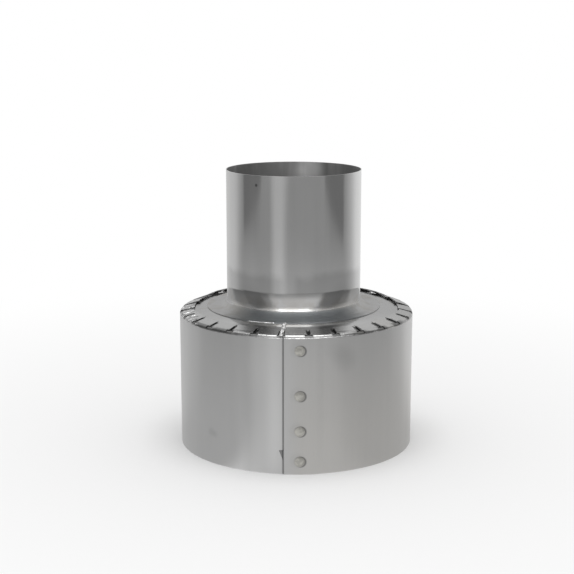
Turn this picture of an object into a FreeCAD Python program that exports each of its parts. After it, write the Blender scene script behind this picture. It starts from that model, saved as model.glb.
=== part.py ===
import FreeCAD, Part
import math
import os

from FreeCAD import Vector

# Air intake adapter: a wide rolled skirt, closed at the top by a ring that its folded tabs hold
# down, with a narrow flanged collar standing on the ring.
# Millimetres and degrees. +Z is up and the origin is the centre of the skirt's lower rim.
# Angles are taken about +Z from +X, so the lap seam, near -90, faces -Y.

# Skirt: one sheet rolled round and lapped
SKIRT_OUTSIDE = 177.8
SKIRT_SHEET = 0.5
SKIRT_HEIGHT = 101.6        # up to the corner between the wall and the folded tabs
SEAM_ANGLE = -95.7          # where the outer layer of the lap ends
LAP_LENGTH = 22.0           # how far the outer layer reaches over the inner end
LAP_GAP = 0.2               # air between the two layers
JOGGLE_LEAD = 0.8           # from the inner end to the step that brings the outer layer in
JOGGLE_LENGTH = 6.0

# Tabs: the skirt's top edge, snipped into strips and folded in over the ring
TAB_COUNT = 28
FRONT_REACH = 9.6           # flat length past the bend
REAR_REACH = 12.5
REACH_SPREAD = 1.2
BEND_RADIUS = 2.3           # outside of the fold
SLIT_WIDTH = 1.9
SLIT_SPREAD = 0.6
SLIT_FROM_SEAM = -1.3       # the slit beside the seam, counted from its edge
SEAM_SLIT_WIDTH = 4.8       # that slit is wider and holds the solder
WEB_BEND = 20.0             # how far the metal is bent over at the foot of a slit
NOTCH_WIDTH = 6.0           # the snipped notch at the foot of a slit, round the fold
NOTCH_REACH = 0.7           # how far the notch goes on past the bend
FRONT_LIFT = 1.2            # free ends stand off the ring by these slopes
REAR_LIFT = 12.0
LIFT_SPREAD = 1.6

# Ring that closes the skirt, dished up towards the collar
RING_SHEET = 0.5
RING_SLOPE = 13.0           # slope of its rim, which the tabs lie along
RING_BAND = 18.9            # from the skirt's outside in to where the slope becomes flat
RING_KNEE = 30.0            # radius of the gentle bend there
RING_CURL = 35.0            # its rim curls down inside the fold until this far above level
RING_LIP = 0.5              # short straight edge at the end of the curl
RING_CLEARANCE = 0.15       # between the ring and the folded skirt round it

# Collar: a pipe flared out into a flange at its foot
COLLAR_OUTSIDE = 101.6
COLLAR_SHEET = 0.5
COLLAR_HEIGHT = 104.0       # from the ring to the rim
COLLAR_FLARE = 8.0          # hollow radius between pipe and flange
COLLAR_OFFSET = -2.0        # it was set down a little off the skirt's axis
FLANGE_BAND = 22.9          # bare ring and tabs left outside the flange
HOLE_MARGIN = 1.5           # the ring's hole is this much wider all round than the pipe's bore

# Rivets down the lap, and the solder in the slit above it
RIVET_PLACES = (0.094, 0.315, 0.571, 0.896)     # heights as shares of the skirt's
RIVET_FROM_EDGE = 11.4
RIVET_HEAD = 7.4
RIVET_HEAD_HEIGHT = 0.9
RIVET_RIM_HEIGHT = 0.35     # at the edge of the low dome
RIVET_SHANK = 3.2
RIVET_TAIL = 5.2
RIVET_TAIL_HEIGHT = 0.3
RIVET_CLEARANCE = 0.03
SOLDER_WIDTH = 3.2
SOLDER_CROWN = 1.3          # thickness above the ring
SOLDER_MARGIN = 0.5         # clear of the flange and of the fold

# Torn tongue at the edge of the lap
TONGUE_TOP = 17.5
TONGUE_FOOT = 9.5
TONGUE_WIDTH = 3.2

# Worked out from the sizes above
skirt_out = SKIRT_OUTSIDE / 2
skirt_in = skirt_out - SKIRT_SHEET
lap_in = skirt_out + LAP_GAP
lap_out = lap_in + SKIRT_SHEET
collar_out = COLLAR_OUTSIDE / 2
collar_in = collar_out - COLLAR_SHEET
flange_out = skirt_out - FLANGE_BAND
plateau = skirt_out - RING_BAND
tab_pitch = 360.0 / TAB_COUNT
first_slit = SEAM_ANGLE + SLIT_FROM_SEAM
tab_turn = 90.0 - RING_SLOPE
fold_start = SKIRT_HEIGHT - BEND_RADIUS * math.tan(math.radians(tab_turn / 2))
fold_centre = skirt_out - BEND_RADIUS
bend_inside = BEND_RADIUS - SKIRT_SHEET
ring_bend = bend_inside - RING_CLEARANCE
rivet_heights = [place * SKIRT_HEIGHT for place in RIVET_PLACES]


def degrees_along(length, radius=skirt_out):
    """The angle that a length measured round the wall covers."""
    return math.degrees(length / radius)


def polar(radius, angle, height=0.0):
    turn = math.radians(angle)
    return Vector(radius * math.cos(turn), radius * math.sin(turn), height)


def uneven(number, phase):
    """A hand's unevenness: a steady value between -1 and 1 for each number."""
    return 0.6 * math.sin(2.4 * number + phase) + 0.4 * math.sin(5.1 * number + 2 * phase)


# Sheets bent along a line

def unit(vector):
    return Vector(vector).normalize()


def bend_points(corners, bends):
    """Where a line through the corners, given as (radius, height) in the XZ plane, starts and ends
    each straight run, which way each run's left side faces, and each bend's centre, the way out to
    its middle, its radius and +1 if it turns left."""
    points = [Vector(radius, 0, height) for radius, height in corners]
    ways = [unit(b - a) for a, b in zip(points, points[1:])]
    left = [Vector(-way.z, 0, way.x) for way in ways]
    starts = [points[0]]
    ends = []
    turns = []
    for corner, radius, way_in, way_out, side in zip(points[1:], bends, ways, ways[1:], left):
        turn = math.acos(max(-1.0, min(1.0, way_in.dot(way_out))))
        tangent = radius * math.tan(turn / 2)
        sense = 1.0 if side.dot(way_out) > 0 else -1.0
        ends.append(corner - way_in * tangent)
        starts.append(corner + way_out * tangent)
        centre = ends[-1] + side * (sense * radius)
        turns.append((centre, unit(corner - centre), radius, sense))
    ends.append(points[-1])
    return starts, ends, left, turns


def bent_line(corners, bends, offset=0.0):
    """Edges along the corners, moved to the left by the offset, with a round at each bend."""
    starts, ends, left, turns = bend_points(corners, bends)
    edges = []
    for i, side in enumerate(left):
        edges.append(Part.LineSegment(starts[i] + side * offset, ends[i] + side * offset).toShape())
        if i < len(turns):
            centre, out, radius, sense = turns[i]
            middle = centre + out * (radius - sense * offset)
            after = starts[i + 1] + left[i + 1] * offset
            edges.append(Part.Arc(ends[i] + side * offset, middle, after).toShape())
    return edges


def bent_strip(corners, bends, sheet):
    """A strip of sheet whose face runs along the corners, with its thickness on the left."""
    starts, ends, left, turns = bend_points(corners, bends)
    foot = Part.LineSegment(starts[0], starts[0] + left[0] * sheet).toShape()
    head = Part.LineSegment(ends[-1], ends[-1] + left[-1] * sheet).toShape()
    outline = bent_line(corners, bends) + bent_line(corners, bends, sheet) + [foot, head]
    return Part.Face(Part.Wire(Part.__sortEdges__(outline)))


def swept_round(face, start, sweep):
    """The face turned about the skirt's axis from the start angle, through the sweep."""
    placed = face.copy()
    placed.rotate(Vector(0, 0, 0), Vector(0, 0, 1), start)
    return placed.revolve(Vector(0, 0, 0), Vector(0, 0, 1), sweep)


# Skirt wall and its lap seam

def arc_round(radius, start, end):
    middle = (start + end) / 2
    return Part.Arc(polar(radius, start), polar(radius, middle), polar(radius, end)).toShape()


def easy_step(start_radius, start, end_radius, end):
    """A smooth S from one radius to another, level at both ends."""
    first = polar(start_radius, start)
    last = polar(end_radius, end)
    third = (last - first).Length / 3
    way = 1.0 if end > start else -1.0
    curve = Part.BezierCurve()
    curve.setPoles([
        first,
        first + polar(third * way, start + 90),
        last - polar(third * way, end + 90),
        last,
    ])
    return curve.toShape()


def skirt_section():
    """The sheet seen from above: outer lap, the step inwards, and nearly a full turn that ends
    under the lap."""
    inner_end = SEAM_ANGLE + degrees_along(LAP_LENGTH)
    step_start = inner_end + degrees_along(JOGGLE_LEAD)
    step_end = step_start + degrees_along(JOGGLE_LENGTH)
    full_turn = inner_end + 360
    edges = [
        arc_round(lap_in, SEAM_ANGLE, step_start),
        easy_step(lap_in, step_start, skirt_in, step_end),
        arc_round(skirt_in, step_end, full_turn),
        Part.LineSegment(polar(skirt_in, full_turn), polar(skirt_out, full_turn)).toShape(),
        arc_round(skirt_out, full_turn, step_end),
        easy_step(skirt_out, step_end, lap_out, step_start),
        arc_round(lap_out, step_start, SEAM_ANGLE),
        Part.LineSegment(polar(lap_out, SEAM_ANGLE), polar(lap_in, SEAM_ANGLE)).toShape(),
    ]
    return Part.Face(Part.Wire(edges))


def torn_tongue():
    """A small pointed tongue of the outer layer that stands past the lap's edge."""
    edge = polar(lap_in, SEAM_ANGLE)
    back = unit(polar(1, SEAM_ANGLE - 90)) * TONGUE_WIDTH
    low = edge - unit(edge) * LAP_GAP
    corners = [
        low + Vector(0, 0, TONGUE_TOP),
        low + back + Vector(0, 0, TONGUE_TOP),
        low + Vector(0, 0, TONGUE_FOOT),
    ]
    through = unit(edge) * (LAP_GAP + SKIRT_SHEET + LAP_GAP)
    prism = Part.Face(Part.makePolygon(corners + corners[:1])).extrude(through)
    layer = Part.makeCylinder(lap_out, TONGUE_TOP).cut(Part.makeCylinder(lap_in, TONGUE_TOP))
    return prism.common(layer)


# Folded tabs

def slit_width(number):
    if number % TAB_COUNT == 0:
        return SEAM_SLIT_WIDTH
    return SLIT_WIDTH + SLIT_SPREAD * uneven(number % TAB_COUNT, 0.7)


def towards_rear(angle, front, rear):
    """A size that grows from its front value, which all of the front has, to its rear one."""
    share = math.sqrt(max(0.0, math.sin(math.radians(angle))))
    return front + (rear - front) * share


def tab_lift(angle, number):
    """How steeply a tab stands off the ring."""
    lift = towards_rear(angle, FRONT_LIFT, REAR_LIFT) + LIFT_SPREAD * uneven(number, 1.9)
    return max(0.0, lift)


def tab_reach(angle, number):
    return towards_rear(angle, FRONT_REACH, REAR_REACH) + REACH_SPREAD * uneven(number, 3.1)


def past_bend(radius, turn, length=0.0):
    """A point of the fold's section, turned through an angle above level round the bend's centre
    and then straight on for a length."""
    angle = math.radians(turn)
    out = Vector(math.cos(angle), 0, math.sin(angle))
    along = Vector(-math.sin(angle), 0, math.cos(angle))
    return Vector(fold_centre, 0, fold_start) + out * radius + along * length


def bend_section(start, end):
    """The sheet in the bend, between two angles above level."""
    arcs = []
    for radius in (BEND_RADIUS, bend_inside):
        middle = past_bend(radius, (start + end) / 2)
        arcs.append(Part.Arc(past_bend(radius, start), middle, past_bend(radius, end)).toShape())
    ends = [
        Part.LineSegment(past_bend(BEND_RADIUS, turn), past_bend(bend_inside, turn)).toShape()
        for turn in (start, end)
    ]
    return Part.Face(Part.Wire(Part.__sortEdges__(arcs + ends)))


def flat_section(turn, start, end):
    """The straight sheet past the bend, between two lengths."""
    corners = [
        past_bend(BEND_RADIUS, turn, start),
        past_bend(BEND_RADIUS, turn, end),
        past_bend(bend_inside, turn, end),
        past_bend(bend_inside, turn, start),
    ]
    return Part.Face(Part.makePolygon(corners + corners[:1]))


def tab(number):
    """One tab's bend and flat, up to the slits on both sides, narrower where the notches are."""
    left = first_slit + number * tab_pitch
    right = left + tab_pitch
    start = left + degrees_along(slit_width(number) / 2)
    end = right - degrees_along(slit_width(number + 1) / 2)
    notch = degrees_along(NOTCH_WIDTH / 2)
    middle = (start + end) / 2
    turn = tab_turn - tab_lift(middle, number)
    reach = tab_reach(middle, number)
    narrow = right - left - 2 * notch
    return [
        swept_round(bend_section(WEB_BEND, turn), left + notch, narrow),
        swept_round(flat_section(turn, 0, NOTCH_REACH), left + notch, narrow),
        swept_round(flat_section(turn, NOTCH_REACH, reach), start, end - start),
    ]


def rivet_angle():
    return SEAM_ANGLE + degrees_along(RIVET_FROM_EDGE)


def set_in_seam(shape, height):
    """Moves what was made along +X to the rivets' line and its height."""
    shape.rotate(Vector(0, 0, 0), Vector(0, 0, 1), rivet_angle())
    shape.translate(Vector(0, 0, height))
    return shape


def rivet_hole(height):
    reach = lap_out + RIVET_HEAD_HEIGHT
    bore = Part.makeCylinder(RIVET_SHANK / 2 + RIVET_CLEARANCE, reach, Vector(0, 0, 0), Vector(1, 0, 0))
    return set_in_seam(bore, height)


def skirt():
    wall = skirt_section().extrude(Vector(0, 0, fold_start))
    foot = swept_round(bend_section(0, WEB_BEND), 0, 360)
    tabs = [piece for number in range(TAB_COUNT) for piece in tab(number)]
    body = wall.multiFuse([foot, torn_tongue()] + tabs)
    return body.cut([rivet_hole(height) for height in rivet_heights]).removeSplitter()


# Ring and collar

def curl_point(radius, height):
    """A point beside the centre of the fold, given from there outwards and upwards."""
    return (fold_centre + radius, fold_start + height)


def ring_top():
    """Height of the ring's flat middle, on which the flange sits."""
    slope = math.radians(RING_SLOPE)
    return fold_start + (ring_bend + (fold_centre - plateau) * math.sin(slope)) / math.cos(slope)


def cover_ring():
    curl = math.radians(RING_CURL)
    tangent = ring_bend * math.tan((math.radians(tab_turn) - curl) / 2)
    out, up = math.cos(curl), math.sin(curl)
    corners = [
        curl_point(ring_bend * out + RING_LIP * up, ring_bend * up - RING_LIP * out),
        curl_point(ring_bend * out - tangent * up, ring_bend * up + tangent * out),
        (plateau, ring_top()),
        (0.0, ring_top()),
    ]
    dish = swept_round(bent_strip(corners, [ring_bend, RING_KNEE], RING_SHEET), 0, 360)
    hole = Part.makeCylinder(collar_in + HOLE_MARGIN, ring_top(), Vector(COLLAR_OFFSET, 0, 0))
    return dish.cut(hole)


def collar():
    foot = ring_top() + COLLAR_SHEET
    corners = [(flange_out, foot), (collar_out, foot), (collar_out, ring_top() + COLLAR_HEIGHT)]
    face = bent_strip(corners, [COLLAR_FLARE], COLLAR_SHEET)
    pipe = swept_round(face, 0, 360)
    pipe.translate(Vector(COLLAR_OFFSET, 0, 0))
    return pipe


# Rivets and solder

def seam_rivet(height):
    """A low domed head outside, a shank through both layers and a tail pressed flat inside."""
    head_radius = RIVET_HEAD / 2
    rim = lap_out + RIVET_RIM_HEIGHT
    crown = lap_out + RIVET_HEAD_HEIGHT
    rise = crown - rim
    dome_radius = (head_radius ** 2 + rise ** 2) / (2 * rise)
    dome = Part.makeSphere(dome_radius, Vector(crown - dome_radius, 0, 0))
    along = Vector(1, 0, 0)
    seat = lap_out + RIVET_CLEARANCE
    head = Part.makeCylinder(head_radius, crown - seat, Vector(seat, 0, 0), along).common(dome)
    tail_seat = math.sqrt(skirt_in ** 2 - (RIVET_TAIL / 2) ** 2) - RIVET_CLEARANCE
    tail_end = tail_seat - RIVET_TAIL_HEIGHT
    tail = Part.makeCylinder(RIVET_TAIL / 2, RIVET_TAIL_HEIGHT, Vector(tail_end, 0, 0), along)
    shank = Part.makeCylinder(RIVET_SHANK / 2, rim - tail_end, Vector(tail_end, 0, 0), along)
    return set_in_seam(head.fuse([shank, tail]).removeSplitter(), height)


def seam_solder():
    """A low round-backed run of solder along the ring, in the slit above the seam."""
    flange_edge = flange_out + COLLAR_OFFSET * math.cos(math.radians(first_slit))
    inner = flange_edge + SOLDER_MARGIN
    outer = fold_centre - SOLDER_MARGIN
    foot = ring_top() - (outer - plateau) * math.tan(math.radians(RING_SLOPE))
    corners = [(outer, foot), (plateau, ring_top()), (inner, ring_top())]
    starts, ends, left, turns = bend_points(corners, [RING_KNEE])
    half = Vector(0, SOLDER_WIDTH / 2, 0)
    back = Part.Arc(starts[0] - half, starts[0] - left[0] * SOLDER_CROWN, starts[0] + half).toShape()
    sole = Part.LineSegment(starts[0] + half, starts[0] - half).toShape()
    run = Part.Wire(bent_line(corners, [RING_KNEE])).makePipeShell([Part.Wire([back, sole])], True, False)
    run.rotate(Vector(0, 0, 0), Vector(0, 0, 1), first_slit)
    return run


def save(name, shape):
    solid = shape.Solids[0] if len(shape.Solids) == 1 else shape
    solid.exportStep(os.path.join("parts", name + ".step"))
    print(name, "solids", len(shape.Solids), "valid", shape.isValid(), "volume", round(shape.Volume, 1))


def main():
    os.makedirs("parts", exist_ok=True)
    save("skirt", skirt())
    save("cover_ring", cover_ring())
    save("collar", collar())
    for number, height in enumerate(rivet_heights, start=1):
        save(f"seam_rivet_{number}", seam_rivet(height))
    save("seam_solder", seam_solder())


main()
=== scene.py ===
import math

import bmesh
import bpy
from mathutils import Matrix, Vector, noise


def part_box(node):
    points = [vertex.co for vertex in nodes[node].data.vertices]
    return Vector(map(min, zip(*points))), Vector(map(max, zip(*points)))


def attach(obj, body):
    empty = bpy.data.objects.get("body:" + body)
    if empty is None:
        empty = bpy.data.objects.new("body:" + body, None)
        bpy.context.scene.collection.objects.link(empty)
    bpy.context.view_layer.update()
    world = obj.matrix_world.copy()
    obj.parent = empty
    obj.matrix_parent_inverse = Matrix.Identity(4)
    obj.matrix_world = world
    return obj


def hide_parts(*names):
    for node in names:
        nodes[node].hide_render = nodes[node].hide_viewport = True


# A sheet metal air intake adapter: riveted skirt, ring under folded tabs, flanged collar.
# Metres, Z up, the origin at the centre of the skirt's lower rim, the lap seam towards -Y.

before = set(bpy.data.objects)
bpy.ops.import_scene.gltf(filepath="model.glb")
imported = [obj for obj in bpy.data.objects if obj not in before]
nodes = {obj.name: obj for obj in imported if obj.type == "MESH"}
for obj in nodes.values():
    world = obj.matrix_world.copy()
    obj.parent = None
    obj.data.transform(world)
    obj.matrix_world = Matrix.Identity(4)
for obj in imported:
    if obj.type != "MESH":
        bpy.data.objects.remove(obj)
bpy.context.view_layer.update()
scene = bpy.context.scene

# Sizes that the looks need, read from the model or the same as in it
SKIRT_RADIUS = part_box("skirt")[1].x
RING_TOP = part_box("cover_ring")[1].z
COLLAR_LOW, COLLAR_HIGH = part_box("collar")
COLLAR_TOP = COLLAR_HIGH.z
COLLAR_X = (COLLAR_LOW.x + COLLAR_HIGH.x) / 2
FLANGE_RADIUS = (COLLAR_HIGH.x - COLLAR_LOW.x) / 2
COLLAR_RADIUS = 0.0508
SHEET = 0.0005
FLANGE_TOP = RING_TOP + SHEET
FOLD_START = 0.09977
PLATEAU = SKIRT_RADIUS - 0.0189
RING_SLOPE = math.radians(13)
TAB_COUNT = 28
TAB_PITCH = 2 * math.pi / TAB_COUNT
SEAM_ANGLE = math.radians(-95.7)
FIRST_SLIT = math.radians(-97.0)
RIVET_HEAD = 0.0037
FLANGE_BEAD_FROM = math.radians(-119)
FLANGE_BEAD_TO = math.radians(-102)

# Greys of the metals
STEEL = (0.470, 0.470, 0.468, 1)
WARM_STEEL = (0.474, 0.464, 0.446, 1)
BLUE_STEEL = (0.448, 0.470, 0.486, 1)
RIVET_STEEL = (0.46, 0.452, 0.42)
SOLDER = (0.80, 0.80, 0.80, 1)
FLUX = (0.34, 0.33, 0.31, 1)

# Smudges on the skirt's wall: bearing, height, inner and outer distance, depth
SMUDGES = (
    (-44.0, 0.0236, 0.0008, 0.0050, 0.10),
    (-41.5, 0.0226, 0.0004, 0.0038, 0.08),
    (19.5, 0.0905, 0.0010, 0.0120, 0.08),
    (23.0, 0.0830, 0.0010, 0.0130, 0.11),
)

# Painted dark reflections, patches round the pipe's foot: bearing, height above the flange, reach
FOOT_SHADE = ((-42.0, 0.0097, 0.017), (-28.0, 0.0072, 0.013), (42.0, 0.0102, 0.017))

# Studio
FLOOR_TONE = 0.89
SOFT_LIGHT = 0.86
FLAG_TONE = 0.26
FLAG_HEIGHT = 2.0
LAMP_PLACE = (0.0, -0.14, 1.5)
LAMP_TARGET = (0.0, 0.0, 0.1)
LAMP_SIDE = 0.85
LAMP_RADIANCE = 2.4
FOCAL_PIXELS = 1294.7
FRAME_PIXELS = 574
CAMERA_PLACE = (0.0, -0.970, 0.3173)
CAMERA_TILT = 0.202
CAMERA_TURN = math.radians(0.416)


# Shader maths

class Channel:
    """A value that varies over a surface; sums on it add Math nodes to its finish."""

    def __init__(self, finish, socket):
        self.finish = finish
        self.socket = socket

    def __add__(self, other):
        return self.finish.maths("ADD", self, other)

    __radd__ = __add__

    def __sub__(self, other):
        return self.finish.maths("SUBTRACT", self, other)

    def __rsub__(self, other):
        return self.finish.maths("SUBTRACT", other, self)

    def __mul__(self, other):
        return self.finish.maths("MULTIPLY", self, other)

    __rmul__ = __mul__

    def __truediv__(self, other):
        return self.finish.maths("DIVIDE", self, other)


class Finish:
    """A material being put together from nodes."""

    def __init__(self, name):
        self.material = bpy.data.materials.new(name)
        self.material.use_nodes = True
        self.tree = self.material.node_tree
        self.tree.nodes.clear()
        self.place = self.node("ShaderNodeTexCoord", output="Object")
        self.x = self.node("ShaderNodeSeparateXYZ", sockets={0: self.place}, output="X")
        self.y = self.node("ShaderNodeSeparateXYZ", sockets={0: self.place}, output="Y")
        self.z = self.node("ShaderNodeSeparateXYZ", sockets={0: self.place}, output="Z")

    def node(self, kind, settings=None, sockets=None, output=0):
        made = self.tree.nodes.new(kind)
        for name, value in (settings or {}).items():
            if name == "stops":
                ramp = made.color_ramp.elements
                while len(ramp) < len(value):
                    ramp.new(0.5)
                for element, (position, colour) in zip(ramp, value):
                    element.position = position
                    element.color = colour
            else:
                setattr(made, name, value)
        for name, value in (sockets or {}).items():
            if isinstance(value, Channel):
                self.tree.links.new(value.socket, made.inputs[name])
            else:
                made.inputs[name].default_value = value
        return Channel(self, made.outputs[output])

    def maths(self, operation, *values):
        return self.node("ShaderNodeMath", {"operation": operation}, dict(enumerate(values)))

    def step(self, value, low, high):
        """0 below the low value, 1 above the high one, and smooth between."""
        return self.node(
            "ShaderNodeMapRange",
            {"interpolation_type": "SMOOTHSTEP"},
            {"Value": value, "From Min": low, "From Max": high},
        )

    def vector(self, x, y, z):
        return self.node("ShaderNodeCombineXYZ", sockets={0: x, 1: y, 2: z})

    def noise(self, where, scale, detail=2.0, roughness=0.5):
        return self.node(
            "ShaderNodeTexNoise",
            sockets={"Vector": where, "Scale": scale, "Detail": detail, "Roughness": roughness},
        )

    def blend(self, factor, first, second):
        return self.node(
            "ShaderNodeMix", {"data_type": "RGBA"}, {0: factor, 6: first, 7: second}, output=2
        )

    def tint(self, colour, value):
        """The colour made lighter or darker by the value."""
        shade = self.vector(value, value, value)
        return self.node(
            "ShaderNodeVectorMath", {"operation": "MULTIPLY"}, {0: colour, 1: shade}
        )

    def away(self, point):
        """Distance from a point."""
        return self.node(
            "ShaderNodeVectorMath", {"operation": "DISTANCE"}, {0: self.place, 1: point},
            output="Value",
        )

    def spot(self, point, inner, outer):
        """1 within the inner distance of a point, fading to 0 at the outer one."""
        return 1 - self.step(self.away(point), inner, outer)

    def band(self, value, centre, inner, outer):
        """1 where the value is within the inner distance of the centre, 0 past the outer one."""
        return 1 - self.step(self.maths("ABSOLUTE", value - centre), inner, outer)

    def angle(self):
        return self.maths("ARCTAN2", self.y, self.x)

    def bearing(self):
        """Degrees round the object from the front, towards +X."""
        return self.maths("ARCTAN2", self.x, 0 - self.y) * math.degrees(1)

    def tabs_round(self):
        """How many tabs lie between the slit by the seam and this place, going round."""
        return (self.angle() - FIRST_SLIT) / TAB_PITCH + TAB_COUNT

    def random(self, value):
        """A value from 0 to 1 that is the same for each whole step of the input."""
        return self.node("ShaderNodeTexWhiteNoise", {"noise_dimensions": "1D"}, {"W": value})

    def outward(self, centre=0.0):
        """Distance from the upright line through a point of the X axis."""
        return self.node(
            "ShaderNodeVectorMath", {"operation": "LENGTH"},
            {0: self.vector(self.x - centre, self.y, 0.0)}, output="Value",
        )

    def bump(self, height, distance, strength=1.0, normal=None):
        sockets = {"Height": height, "Distance": distance, "Strength": strength}
        if normal is not None:
            sockets["Normal"] = normal
        return self.node("ShaderNodeBump", sockets=sockets)

    def metal(self, colour, roughness, normal):
        shader = self.node(
            "ShaderNodeBsdfPrincipled",
            sockets={"Base Color": colour, "Roughness": roughness, "Normal": normal, "Metallic": 1.0},
        )
        return self.worn(shader)

    def worn(self, shader):
        """The material with this shader as its surface."""
        end = self.tree.nodes.new("ShaderNodeOutputMaterial")
        self.tree.links.new(shader.socket, end.inputs["Surface"])
        return self.material


def rivet_centre(number):
    low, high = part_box(f"seam_rivet_{number}")
    return (low + high) / 2


def on_wall(radius, bearing, height):
    """A point at a bearing in degrees, counted from the front towards +X."""
    turn = math.radians(bearing)
    return (radius * math.sin(turn), -radius * math.cos(turn), height)


# Finishes

def rivet_darkening(f):
    """Darker round each head: a faint ring at its edge, a soft patch up to its left, and a painted
    shadow crescent on its right side.
    """
    stain = 0.0
    for number in range(1, 5):
        centre = rivet_centre(number)
        ring = f.spot(centre, RIVET_HEAD + 0.0001, RIVET_HEAD + 0.0011)
        # Painted shadow: a dark crescent on the right side of each head.
        right_shadow = f.spot(centre + Vector((0.0009, 0, -0.0002)), RIVET_HEAD, RIVET_HEAD + 0.0008)
        halo = f.spot(centre + Vector((-0.0015, 0, 0.0010)), RIVET_HEAD, RIVET_HEAD + 0.0035)
        stain = ring * 0.04 + right_shadow * 0.52 + halo * 0.05 + stain
    return stain


def skirt_finish():
    """Satin rolled sheet: soft roll marks, painted shadow along the lap joint and on the torn tongue,
    a painted highlight beside the joint, rivets with darker rings and a painted shadow, crumpled folds
    with painted glints, painted shade by the slits, painted dark reflections on side bends.
    """
    f = Finish("skirt_sheet")
    clouds = f.noise(f.place, 20.0, 3.0, 0.55)
    rolled = f.noise(f.vector(f.x * 190, f.y * 190, f.z * 5), 1.0, 3.0)
    grain = f.noise(f.vector(f.x * 1500, f.y * 1500, f.z * 90), 1.0, 2.0)
    tone = 0.905 + clouds * 0.11 + rolled * 0.05 + grain * 0.03
    outward = f.outward()

    # Wall
    joint = (f.angle() - SEAM_ANGLE) * SKIRT_RADIUS
    # Painted shadow: a dark line along the lap joint's edge.
    joint_shadow = f.step(joint, -0.0013, -0.0006) * (1 - f.step(joint, 0.0001, 0.0006))
    # Painted highlight: the inner sheet made lighter in a band left of the joint.
    seam_highlight = f.step(joint, -0.0200, -0.0030) * (1 - f.step(joint, -0.0018, -0.0010))
    # Painted shadow: the torn tongue at the lap's edge made darker.
    tongue_shadow = (1 - f.step(joint, -0.0004, -0.0001)) * f.step(joint, -0.0040, -0.0036)
    tongue_shadow = tongue_shadow * f.step(outward, SKIRT_RADIUS + 0.00012, SKIRT_RADIUS + 0.00024)
    tone = tone * (1 - joint_shadow * 0.48) * (1 + seam_highlight * 0.06) * (1 - tongue_shadow * 0.55)
    tone = tone * (1 - rivet_darkening(f))
    for bearing, height, inner, outer, depth in SMUDGES:
        tone = tone * (1 - f.spot(on_wall(SKIRT_RADIUS, bearing, height), inner, outer) * depth)
    # Darker in an upright strip at bearing -18.5, less so towards the top.
    darker_strip = f.band(f.bearing(), -18.5, 3.0, 9.0) * (1 - f.step(f.z, 0.045, 0.085) * 0.6)
    tone = tone * (1 - darker_strip * 0.11)
    edge = 1 - f.step(f.z, 0.0004, 0.0010)
    tone = tone + edge * 0.08

    # Folded tabs
    folded = f.step(f.z, FOLD_START - 0.0002, FOLD_START + 0.0006)
    tabs = f.tabs_round()
    number = f.maths("MODULO", f.maths("FLOOR", tabs), float(TAB_COUNT))
    own = f.random(number + 0.5)
    tone = tone * (1 + folded * (own * 0.12 - 0.06))
    crumpled = folded * f.step(0 - f.x, 0.069, 0.078)
    # Painted highlight: the crumpled tabs at the far left made lighter to stand for their glints; the
    # creases bump is real.
    tone = tone * (1 + crumpled * 0.30)
    from_slit = f.maths("PINGPONG", tabs, 0.5)
    slit_jitter = f.noise(f.place, 380.0, 3.0, 0.6)
    inset = SKIRT_RADIUS - outward
    at_fold = folded * (1 - f.step(inset, 0.0026, 0.0052))
    # Painted shade: the fold darkened at the ends of the slits.
    notch_shade = at_fold * (1 - f.step(from_slit + slit_jitter * 0.10, 0.17, 0.25))
    on_flat = f.step(inset, 0.0026, 0.0034) * (1 - f.step(inset, 0.0088, 0.0096))
    # Painted shadow: the tab flats darkened along the slits, wider at the front right, with an uneven
    # edge from noise.
    wide_shadow_zone = f.step(f.x, 0.030, 0.045) * (1 - f.step(f.y, -0.030, -0.010))
    slit_edge = from_slit + slit_jitter * (0.03 + wide_shadow_zone * 0.22) - wide_shadow_zone * 0.16
    slit_shadow = folded * on_flat * (1 - f.step(slit_edge, 0.090, 0.110))
    tone = tone * (1 - notch_shade * 0.25) * (1 - slit_shadow * 0.85)
    # Painted dark reflection: patches of the bends at the front left and front right darkened.
    side_bend_reflection = f.band(f.bearing(), -42.0, 14.0, 20.0) + f.band(f.bearing(), 45.0, 14.0, 20.0)
    patchy = f.step(f.noise(f.place, 110.0, 2.0), 0.36, 0.56)
    on_bend = folded * (1 - f.step(inset, 0.0024, 0.0034))
    tone = tone * (1 - side_bend_reflection * patchy * on_bend * 0.62)
    olive_tab = f.maths("COMPARE", number, 4.0, 0.5)
    warm = f.step(f.x, -0.010, 0.006) * (1 - f.step(f.z, 0.02, 0.13)) * 0.75 + olive_tab * folded * 0.5
    colour = f.tint(f.blend(warm, STEEL, WARM_STEEL), tone)
    roughness = 0.30 + clouds * 0.08 + rolled * 0.05 - folded * 0.15 + joint_shadow * 0.2 + notch_shade * 0.2

    waves = f.noise(f.vector(f.x * 34, f.y * 34, f.z * 5), 1.0, 1.0)
    dents = f.noise(f.place, 300.0, 3.0, 0.6)
    creases = f.noise(f.place, 170.0, 1.0)
    shape = f.bump(waves * (1 - folded), 0.0016)
    shape = f.bump(dents * at_fold, 0.00025, normal=shape)
    shape = f.bump(creases * crumpled, 0.0070, normal=shape)
    shape = f.bump(grain, 0.00001, normal=shape)
    return f.metal(colour, roughness, shape)


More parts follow.
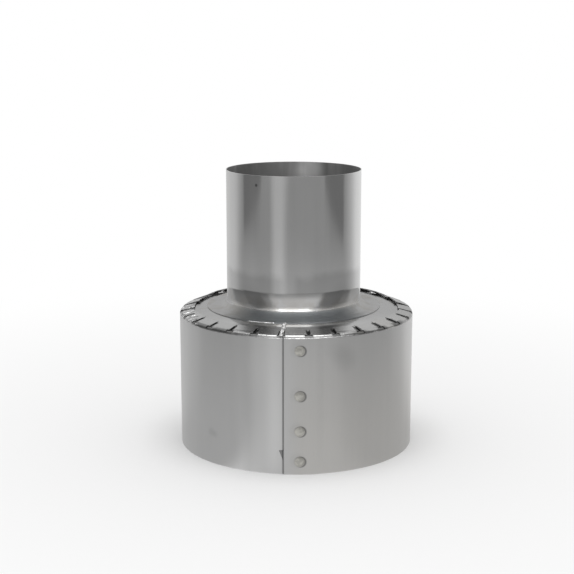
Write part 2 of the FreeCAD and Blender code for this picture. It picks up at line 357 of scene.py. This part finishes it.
def ring_finish():
    """Semi-bright sheet: painted shade makes it nearly black under the tabs, where it shows through
    the slits, and painted light makes it lighter there under some lifted rear tabs.
    """
    f = Finish("ring_sheet")
    clouds = f.noise(f.place, 30.0, 3.0, 0.55)
    grain = f.noise(f.place, 700.0, 3.0)
    inset = SKIRT_RADIUS - f.outward()
    patches = f.noise(f.place, 90.0, 2.0)
    under_tabs = 1 - f.step(inset - patches * 0.0020, 0.0075, 0.0085)
    in_fold = 1 - f.step(inset, 0.0022, 0.0030)
    own = f.random(f.maths("FLOOR", f.tabs_round() + 0.35) + 3.5)
    unshaded = f.step(f.y, 0.0, 0.015) * f.step(own, 0.35, 0.40)
    # Painted shade: the ring nearly black under the tabs, less so in the fold, left out under some
    # rear tabs.
    slit_shade = under_tabs * (1 - in_fold * 0.40) * (1 - unshaded * 0.90)
    stain = f.step(f.noise(f.place, 120.0, 3.0, 0.6), 0.56, 0.70)
    tone = (0.93 + clouds * 0.10 + grain * 0.02) * (1 - stain * 0.06) * (1 - slit_shade * 0.93)
    # Painted light: the ring under those rear tabs made nearly twice as light, and rougher.
    lit_under_tabs = under_tabs * unshaded
    tone = tone * (1 + lit_under_tabs * 0.9)
    colour = f.tint(f.blend(stain, STEEL, WARM_STEEL), tone)
    ripples = f.noise(f.place, 45.0, 1.0)
    shape = f.bump(ripples, 0.0005)
    shape = f.bump(grain, 0.00001, normal=shape)
    roughness = 0.15 + clouds * 0.05 + stain * 0.08 + slit_shade * 0.45 + lit_under_tabs * 0.55
    return f.metal(colour, roughness, shape)


def collar_finish():
    """Semi-bright rolled pipe: soft streaks, a darker belt above its foot, painted dark reflections on
    the flare, painted shade and a painted highlight inside, dirt by the rim.
    """
    f = Finish("collar_sheet")
    clouds = f.noise(f.place, 26.0, 3.0, 0.55)
    streaks = f.noise(f.vector(f.x * 85, f.y * 85, f.z * 2.5), 1.0, 3.0)
    grain = f.noise(f.vector(f.x * 1400, f.y * 1400, f.z * 60), 1.0, 2.0)
    tone = 0.86 + clouds * 0.10 + streaks * 0.16 + grain * 0.03
    above = f.z - FLANGE_TOP
    foot = 1 - f.step(above, 0.004, 0.022)
    tarnish = foot * f.step(f.noise(f.place, 70.0, 3.0, 0.6), 0.45, 0.62)
    # Painted dark reflection: the flange made 7% darker.
    flange = 1 - f.step(above, 0.0004, 0.0016)
    # Painted dark reflection with a bluish tint, low on the front of the flare.
    foot_band = 1 - f.step(above, 0.0035, 0.0055)
    painted_foot_reflection = foot_band * f.band(f.bearing(), 4.0, 30.0, 64.0)
    wander = f.noise(f.place, 55.0, 2.0) * 0.010
    # Darker in a belt 13 to 32 mm above the flange, except near the front.
    darker_belt = f.step(above, 0.0132, 0.0192) * (1 - f.step(above + wander, 0.0317, 0.0392))
    darker_belt = darker_belt * (1 - f.band(f.bearing(), -6.0, 2.0, 9.0) * 0.8)
    tone = tone * (1 - tarnish * 0.08) * (1 - flange * 0.07) * (1 - painted_foot_reflection * 0.24)
    tone = tone * (1 - darker_belt * 0.20)
    # Painted dark reflections on the pipe's foot.
    for bearing, height, reach in FOOT_SHADE:
        foot_shade = f.spot(on_wall(COLLAR_RADIUS, bearing, FLANGE_TOP + height), 0.003, reach)
        tone = tone * (1 - foot_shade * 0.15)
    dot = on_wall(COLLAR_RADIUS, -32, COLLAR_TOP - 0.0072)
    tone = tone * (1 - f.spot((dot[0] + COLLAR_X, dot[1], dot[2]), 0.0006, 0.0015) * 0.6)
    rim = f.step(f.z, COLLAR_TOP - 0.0006, COLLAR_TOP - 0.0003)
    # Inside the pipe, painted shade darkens the wall, with lighter streaks and a painted highlight on
    # the far side.
    inside = 1 - f.step(f.outward(COLLAR_X), COLLAR_RADIUS - 0.0004, COLLAR_RADIUS - 0.0001)
    bands = f.noise(f.vector(f.x * 60, f.y * 60, f.z * 8), 1.0, 3.0, 0.6)
    lit = f.spot(on_wall(COLLAR_RADIUS, 167, COLLAR_TOP - 0.006), 0.004, 0.015) * 0.95
    tone = tone * (1 + inside * (f.step(bands, 0.45, 0.65) * 0.30 + lit - 0.18)) + rim * 0.10
    colour = f.tint(f.blend(painted_foot_reflection, f.blend(tarnish, STEEL, WARM_STEEL), BLUE_STEEL), tone)
    waves = f.noise(f.vector(f.x * 30, f.y * 30, f.z * 4), 1.0, 1.0)
    # The real flare starts higher up the pipe than the solid's, and ends in a slight brow
    swelling = 1 - f.step(above, -0.0035, 0.0185)
    brow = f.maths("MAXIMUM", f.maths("MINIMUM", above, 0.0050), 0.0004)
    shape = f.bump(swelling * 0.0088 - brow * 0.30, 1.0)
    shape = f.bump(waves, 0.0012, normal=shape)
    shape = f.bump(grain, 0.00001, normal=shape)
    gleam = f.band(above, 0.0060, 0.0010, 0.0035)
    roughness = 0.075 + clouds * 0.05 + streaks * 0.03 + tarnish * 0.08 + inside * 0.42
    return f.metal(colour, roughness + foot_band * 0.25 + gleam * 0.08, shape)


def rivet_finish():
    """Dull rivet metal, slightly warm, with painted shade round the edge of each head and a painted
    highlight up and left of its middle.
    """
    f = Finish("rivet_metal")
    mottle = f.noise(f.place, 500.0, 3.0, 0.6)
    head_highlight = 0.0
    for number in range(1, 5):
        # Painted highlight: lighter a little up and left of each head's middle, darker towards its
        # edge.
        high = rivet_centre(number) + Vector((-0.0004, 0, 0.0003))
        head_highlight = f.spot(high, RIVET_HEAD - 0.0012, RIVET_HEAD - 0.0002) + head_highlight
    grimy = f.step(f.noise(f.place, 340.0, 2.0), 0.47, 0.60)
    tone = (0.94 + mottle * 0.24) * (0.84 + head_highlight * 0.16) * (1 - grimy * 0.18)
    colour = f.tint(RIVET_STEEL, tone)
    return f.metal(colour, 0.36 + mottle * 0.1, f.bump(mottle, 0.00004))


def solder_finish():
    """Bright crumpled solder with darker flux in its hollows."""
    f = Finish("solder_metal")
    folds = f.noise(f.place, 900.0, 4.0, 0.65)
    hollow = 1 - f.step(folds, 0.38, 0.50)
    colour = f.tint(f.blend(hollow, SOLDER, FLUX), 0.9 + folds * 0.2)
    return f.metal(colour, 0.14 + hollow * 0.2, f.bump(folds, 0.0004))


def paint(node, material):
    mesh = nodes[node].data
    mesh.materials.clear()
    mesh.materials.append(material)


# New pieces

def solder_piece(bm, name, material):
    bmesh.ops.remove_doubles(bm, verts=bm.verts, dist=1e-6)
    bmesh.ops.recalc_face_normals(bm, faces=bm.faces)
    mesh = bpy.data.meshes.new(name)
    bm.to_mesh(mesh)
    bm.free()
    mesh.materials.append(material)
    mesh.shade_smooth()
    piece = bpy.data.objects.new(name, mesh)
    scene.collection.objects.link(piece)
    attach(piece, "root")
    return piece


def ring_height(radius):
    """Height of the ring's upper face."""
    return RING_TOP - max(0.0, radius - PLATEAU) * math.tan(RING_SLOPE)


def crumpled_run(name, material, route, half, rise):
    """A run of solder pinched and wrinkled by hand, along a route of points on the sheet."""
    bm = bmesh.new()
    bmesh.ops.create_grid(bm, x_segments=90, y_segments=12, size=1.0)
    for v in bm.verts:
        along, across = (v.co.x + 1) / 2, v.co.y
        spot = route(along)
        ahead = route(along + 0.01) - spot
        sideways = Vector((-ahead.y, ahead.x, 0)).normalized()
        width = half * (0.80 + 0.5 * noise.noise(Vector((along * 9, 0.0, 3.0))))
        wander = half * 0.25 * noise.noise(Vector((along * 4, 2.0, 0.0)))
        crease = abs(noise.noise(Vector((along * 30, across * 1.8, 1.0))))
        lump = rise * (1 - across * across) * (0.35 + 1.6 * crease)
        v.co = spot + sideways * (across * width + wander) + Vector((0, 0, 0.00004 + lump))
    top = bmesh.ops.extrude_face_region(bm, geom=bm.faces[:])
    lower = [g for g in top["geom"] if isinstance(g, bmesh.types.BMVert)]
    for v in lower:
        radius = Vector((v.co.x, v.co.y)).length
        v.co.z = min(v.co.z, ring_height(radius) + 0.00002)
    return solder_piece(bm, name, material)


def seam_run(material):
    """Down the ring in the slit above the seam, and over the fold."""
    direction = Vector((math.cos(FIRST_SLIT), math.sin(FIRST_SLIT), 0))
    start, end = FLANGE_RADIUS + 0.0004, SKIRT_RADIUS - 0.0006

    def route(along):
        radius = start + (end - start) * along
        return direction * radius + Vector((0, 0, ring_height(radius)))

    piece = crumpled_run("crumpled_solder", material, route, 0.0019, 0.0011)
    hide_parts("seam_solder")


def flange_bead(material):
    """Splashes of solder along the flange's edge, beside the seam."""
    def route(along):
        turn = FLANGE_BEAD_FROM + (FLANGE_BEAD_TO - FLANGE_BEAD_FROM) * along
        radius = FLANGE_RADIUS + 0.0003
        return Vector((COLLAR_X + radius * math.cos(turn), radius * math.sin(turn), RING_TOP))

    crumpled_run("flange_bead", material, route, 0.0006, 0.0004)


# Studio

def stage_mesh(name, bm, finish):
    """A part of the studio, made an object."""
    mesh = bpy.data.meshes.new(name)
    bm.to_mesh(mesh)
    bm.free()
    mesh.materials.append(finish.material)
    staged = bpy.data.objects.new(name, mesh)
    scene.collection.objects.link(staged)
    return staged


def reflected_only(card):
    """Keeps a card out of the picture and off the floor's light, as one out of frame would be."""
    card.visible_camera = False
    card.visible_diffuse = False
    card.visible_shadow = False


def studio_floor():
    """White, and evenly so in the distance, so that it meets the white world unseen."""
    f = Finish("studio_floor")
    matt = f.node("ShaderNodeBsdfDiffuse", sockets={"Color": (FLOOR_TONE, FLOOR_TONE, FLOOR_TONE, 1)})
    white = f.node("ShaderNodeEmission", sockets={"Color": (1, 1, 1, 1), "Strength": 1.0})
    camera_ray = f.node("ShaderNodeLightPath", output="Is Camera Ray")
    glossy_ray = f.node("ShaderNodeLightPath", output="Is Glossy Ray")
    distant = f.step(f.away((0, 0, 0)), 0.18, 0.60)
    seen = f.maths("MAXIMUM", camera_ray, glossy_ray)
    f.worn(f.node("ShaderNodeMixShader", sockets={0: distant * seen, 1: matt, 2: white}))
    bm = bmesh.new()
    bmesh.ops.create_grid(bm, x_segments=1, y_segments=1, size=6.0)
    stage_mesh("studio_floor", bm, f).location.z = -0.0001


def glowing(f, strength):
    """The finish as an even glow of a strength that varies over it."""
    return f.worn(f.node(
        "ShaderNodeEmission", sockets={"Color": f.vector(strength, strength, strength)}
    ))


def table_card():
    """The grey table top that the upright walls mirror, with one lighter lane at the front left."""
    f = Finish("table_card")
    bearing = f.bearing()
    distance = f.away((0, 0, 0))
    aside = f.maths("ABSOLUTE", bearing)
    front = 1 - f.step(aside, 92.0, 122.0)
    near = 1 - f.step(distance, 0.15, 1.10)
    lane = f.band(bearing, -24.0, 3.0, 17.0)
    side = f.band(aside, 77.0, 8.0, 24.0) * f.step(distance, 0.8, 1.3)
    back = f.band(aside, 180.0, 12.0, 45.0)
    middle = f.band(bearing, 2.0, 16.0, 48.0) * near
    window = f.band(bearing, 146.0, 12.0, 33.0)
    glow = 0.88 - front * (0.41 - near * 0.25) + lane * 0.29 - side * 0.10 - back * 0.16
    glowing(f, glow + middle * 0.14 + window * 0.22)
    bm = bmesh.new()
    bmesh.ops.create_circle(bm, cap_ends=True, segments=64, radius=4.0)
    card = stage_mesh("table_card", bm, f)
    card.location.z = 0.0
    reflected_only(card)


def wall_card():
    """A grey wall all round the studio, darker at both sides and white towards its top."""
    f = Finish("wall_card")
    bearing = f.bearing()
    left = f.band(bearing, -83.0, 35.0, 47.0)
    right = f.band(bearing, 80.0, 24.0, 36.0)
    middle = f.step(f.z, 0.4, 3.0) * 0.32
    top = f.step(f.z, 5.0, 7.0)
    glowing(f, (0.56 + middle) * (1 - (left + right) * 0.50) * (1 - top) + top)
    bm = bmesh.new()
    bmesh.ops.create_cone(bm, cap_ends=False, segments=64, radius1=3.6, radius2=3.6, depth=7.0)
    bmesh.ops.translate(bm, verts=bm.verts, vec=(0, 0, 3.5))
    reflected_only(stage_mesh("wall_card", bm, f))


def studio_flag(name, near, far):
    """A dark upright panel beside the object, between two points of the floor."""
    f = Finish(name)
    glowing(f, FLAG_TONE)
    bm = bmesh.new()
    bmesh.ops.create_grid(bm, x_segments=1, y_segments=1, size=0.5)
    for v in bm.verts:
        across, up = v.co.x + 0.5, v.co.y + 0.5
        v.co = Vector(near).lerp(Vector(far), across) + Vector((0, 0, FLAG_HEIGHT * up))
    reflected_only(stage_mesh(name, bm, f))


def studio_world():
    """Even white light: full strength where it is seen or mirrored, less on the floor."""
    world = bpy.data.worlds.new("studio_world")
    scene.world = world
    world.use_nodes = True
    tree = world.node_tree
    tree.nodes.clear()
    path = tree.nodes.new("ShaderNodeLightPath")
    seen = tree.nodes.new("ShaderNodeMath")
    seen.operation = "MAXIMUM"
    tree.links.new(path.outputs["Is Camera Ray"], seen.inputs[0])
    tree.links.new(path.outputs["Is Glossy Ray"], seen.inputs[1])
    strength = tree.nodes.new("ShaderNodeMapRange")
    strength.inputs["To Min"].default_value = SOFT_LIGHT
    strength.inputs["To Max"].default_value = 1.0
    tree.links.new(seen.outputs[0], strength.inputs["Value"])
    background = tree.nodes.new("ShaderNodeBackground")
    background.inputs["Color"].default_value = (1, 1, 1, 1)
    tree.links.new(strength.outputs[0], background.inputs["Strength"])
    end = tree.nodes.new("ShaderNodeOutputWorld")
    tree.links.new(background.outputs[0], end.inputs["Surface"])


def softbox():
    """One square soft light, overhead and a little in front."""
    light = bpy.data.lights.new("softbox_above", "AREA")
    light.shape = "SQUARE"
    light.size = LAMP_SIDE
    light.energy = LAMP_RADIANCE * math.pi * LAMP_SIDE * LAMP_SIDE
    lamp = bpy.data.objects.new("softbox_above", light)
    lamp.location = LAMP_PLACE
    aim = Vector(LAMP_TARGET) - Vector(LAMP_PLACE)
    lamp.rotation_euler = aim.to_track_quat("-Z", "Y").to_euler()
    scene.collection.objects.link(lamp)
    lamp.visible_camera = False


def camera():
    lens = bpy.data.cameras.new("camera")
    lens.sensor_width = 36.0
    lens.lens = lens.sensor_width * FOCAL_PIXELS / FRAME_PIXELS
    lens.clip_start = 0.01
    seat = bpy.data.objects.new("camera", lens)
    seat.location = CAMERA_PLACE
    seat.rotation_euler = (math.pi / 2 - CAMERA_TILT, 0.0, CAMERA_TURN)
    scene.collection.objects.link(seat)
    scene.camera = seat


solder = solder_finish()
paint("skirt", skirt_finish())
paint("cover_ring", ring_finish())
paint("collar", collar_finish())
rivet = rivet_finish()
for number in range(1, 5):
    paint(f"seam_rivet_{number}", rivet)
paint("seam_solder", solder)
seam_run(solder)
flange_bead(solder)

studio_floor()
table_card()
wall_card()
studio_flag("studio_flag_left", (-1.07, 0.04, 0), (-1.36, -0.93, 0))
studio_flag("studio_flag_right", (0.98, 0.04, 0), (1.32, -0.98, 0))
studio_world()
softbox()
camera()

scene.view_settings.view_transform = "Standard"
